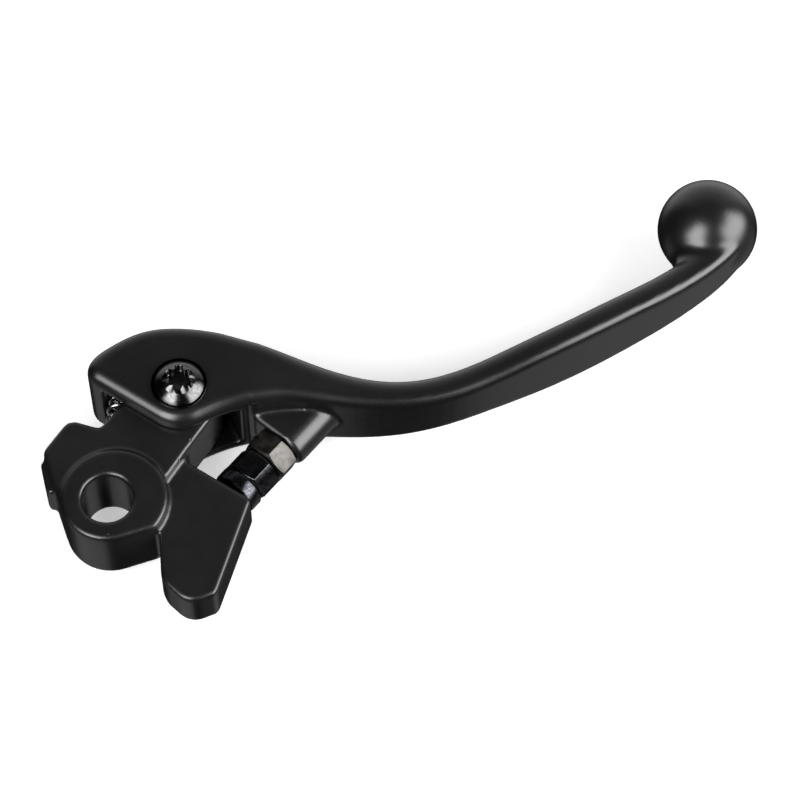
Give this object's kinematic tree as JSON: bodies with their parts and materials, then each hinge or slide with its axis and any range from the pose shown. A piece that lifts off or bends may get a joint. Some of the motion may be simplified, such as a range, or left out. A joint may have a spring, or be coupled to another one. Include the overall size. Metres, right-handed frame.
{
  "type": "motorcycle clutch lever",
  "caption": "Folding motorcycle control lever: cast knuckle on a plain pivot bore, forged ball-end blade on a sprung fold bolt, and a hexagon screw reach adjuster with a locknut.",
  "frame": {"origin": "centre of the perch pivot bore, at mid-height of the pivot boss", "axes": "+Z along the pivot bore towards the head of the fold bolt, +X to the centre of the ball end, +Y to the side the fingers reach"},
  "size_m": [0.1541, 0.0559, 0.0238],
  "materials": {
    "cast_black": "satin black coating on cast aluminium",
    "forged_black": "satin black coating on forged aluminium",
    "black_oxide": "glossy black oxide steel",
    "bronze": "plain bearing bronze",
    "spring_steel": "bright spring wire",
    "dull_steel": "dull grey-brown phosphated steel"
  },
  "bodies": {
    "knuckle_body": {"knuckle": "cast_black", "fold_spring": "spring_steel"},
    "bush_body": {"fold_bush": "bronze"},
    "blade_body": {"lever_blade": "forged_black", "fold_bolt": "black_oxide"},
    "locknut_body": {"adjuster_locknut": "dull_steel"},
    "screw_body": {"adjuster_screw": "black_oxide"}
  },
  "joints": [
    {"name": "reach_swing", "type": "hinge", "parent": "knuckle_body", "child": "bush_body", "pos_m": [0.0227, 0.0139, 0], "axis": [0, 0, 1], "range_deg": [0, 3.6], "deforming": ["fold_spring"]},
    {"name": "fold", "type": "hinge", "parent": "bush_body", "child": "blade_body", "pos_m": [0.0227, 0.0139, 0], "axis": [0, 0, 1], "range_deg": [0, 16], "stiffness_Nm_per_rad": 0.85, "springref_deg": -16.04, "deforming": ["fold_spring"]},
    {"name": "reach_slide", "type": "slide", "parent": "blade_body", "child": "locknut_body", "axis": [-0.9272, -0.3746, 0], "range_m": [0, 0.0015]},
    {"name": "screw_turn", "type": "hinge", "parent": "locknut_body", "child": "screw_body", "pos_m": [0.0358, -0.0025, 0], "axis": [-0.9272, -0.3746, 0], "range_deg": [0, 540]}
  ],
  "couplings": [
    {"joint": "reach_swing", "follows": "reach_slide", "rad_per_m": 41.6},
    {"joint": "screw_turn", "follows": "reach_slide", "rad_per_m": 6283.2}
  ]
}
